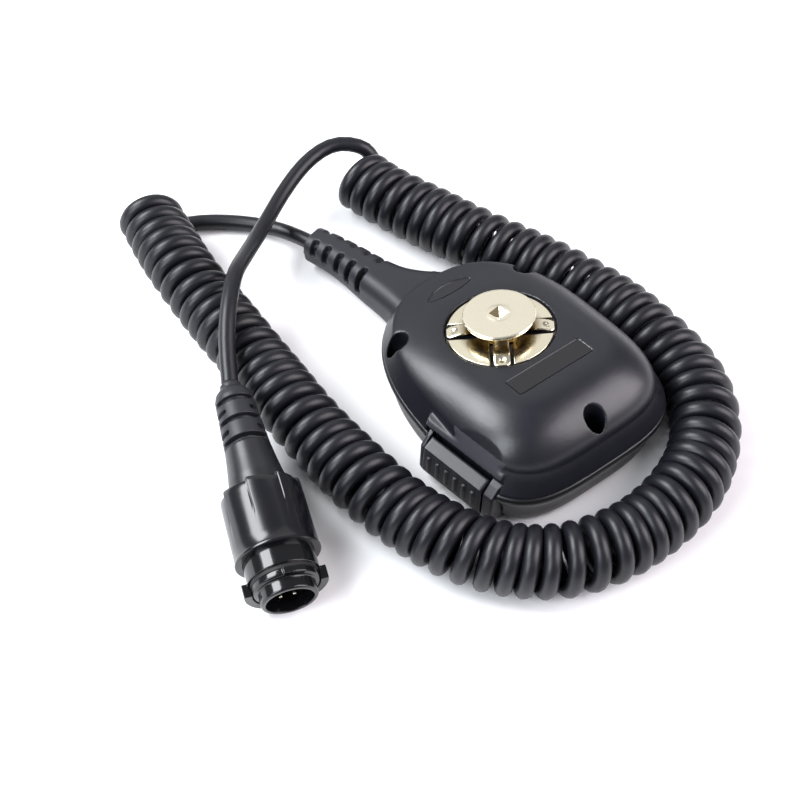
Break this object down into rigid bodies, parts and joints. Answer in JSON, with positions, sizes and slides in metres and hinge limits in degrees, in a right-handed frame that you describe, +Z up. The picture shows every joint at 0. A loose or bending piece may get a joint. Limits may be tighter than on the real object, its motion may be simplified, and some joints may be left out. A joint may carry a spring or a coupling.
{
  "type": "hand microphone",
  "caption": "Hand microphone with a push-to-talk bar, a hang-up button on its back, a curly cord and a round locking plug.",
  "frame": {"origin": "middle of the footprint of the microphone's case, on the surface it lies on, face down", "axes": "+Z up from the face to the hang-up button, +Y from the far end of the case towards the cord, +X away from the push-to-talk bar"},
  "size_m": [0.1474, 0.1856, 0.0345],
  "materials": {
    "case_plastic": "fine satin moulding texture",
    "front_plastic": "fine satin moulding texture",
    "label_film": "satin film",
    "inlay_plastic": "satin",
    "screw_steel": "zinc plated",
    "polished_nickel": "bright, warm nickel plate",
    "spring_nickel": "bright, warm nickel plate",
    "ptt_plastic": "satin",
    "switch_plastic": "moulded",
    "board_laminate": "solder mask",
    "capsule_aluminium": "drawn",
    "soft_rubber": "matte",
    "boot_rubber": "satin",
    "cord_jacket": "satin",
    "dust_fabric": "woven",
    "contact_gold": "plated",
    "plug_satin": "satin",
    "plug_gloss": "gloss",
    "insert_plastic": "moulded"
  },
  "bodies": {
    "root": {"back_shell": "case_plastic", "front_shell": "front_plastic", "label_plate": "label_film", "badge_inlay": "inlay_plastic", "case_screws": "screw_steel", "stud_washer": "screw_steel", "stud_nut": "screw_steel", "hang_up_button": "polished_nickel", "spring_plate": "spring_nickel", "hook_contact": "spring_nickel", "collar_spring": "spring_nickel", "ptt_bezel": "ptt_plastic", "ptt_switch": "switch_plastic", "board_connector": "switch_plastic", "cord_clamp": "switch_plastic", "circuit_board": "board_laminate", "microphone_capsule": "capsule_aluminium", "ptt_seal": "soft_rubber", "capsule_gasket": "soft_rubber", "barrel_seal": "soft_rubber", "strain_relief": "boot_rubber", "plug_boot": "boot_rubber", "cord_inner_end": "cord_jacket", "cord_mic_lead": "cord_jacket", "cord_coil": "cord_jacket", "cord_plug_lead": "cord_jacket", "dust_cloth": "dust_fabric", "plug_pins": "contact_gold", "capsule_pins": "contact_gold", "lead_wires": "contact_gold", "plug_body": "plug_satin", "plug_barrel": "plug_gloss", "plug_insert": "insert_plastic"},
    "ptt_button": {"ptt_button": "ptt_plastic"},
    "switch_plunger": {"switch_plunger": "switch_plastic"},
    "plug_collar": {"plug_collar": "plug_gloss", "latch_ring": "plug_gloss"}
  },
  "joints": [
    {"name": "ptt_press", "type": "slide", "parent": "root", "child": "ptt_button", "axis": [0.989, 0.1478, 0], "range_m": [0, 0.0018], "stiffness_N_per_m": 900},
    {"name": "switch_travel", "type": "slide", "parent": "root", "child": "switch_plunger", "axis": [0.989, 0.1478, 0], "range_m": [0, 0.0009]},
    {"name": "collar_turn", "type": "hinge", "parent": "root", "child": "plug_collar", "pos_m": [-0.07771, 0.00012, 0.0126], "axis": [-0.346, -0.9289, -0.1317], "range_deg": [0, 40]}
  ],
  "couplings": [
    {"joint": "switch_travel", "follows": "ptt_press", "ratio": 0.5}
  ]
}
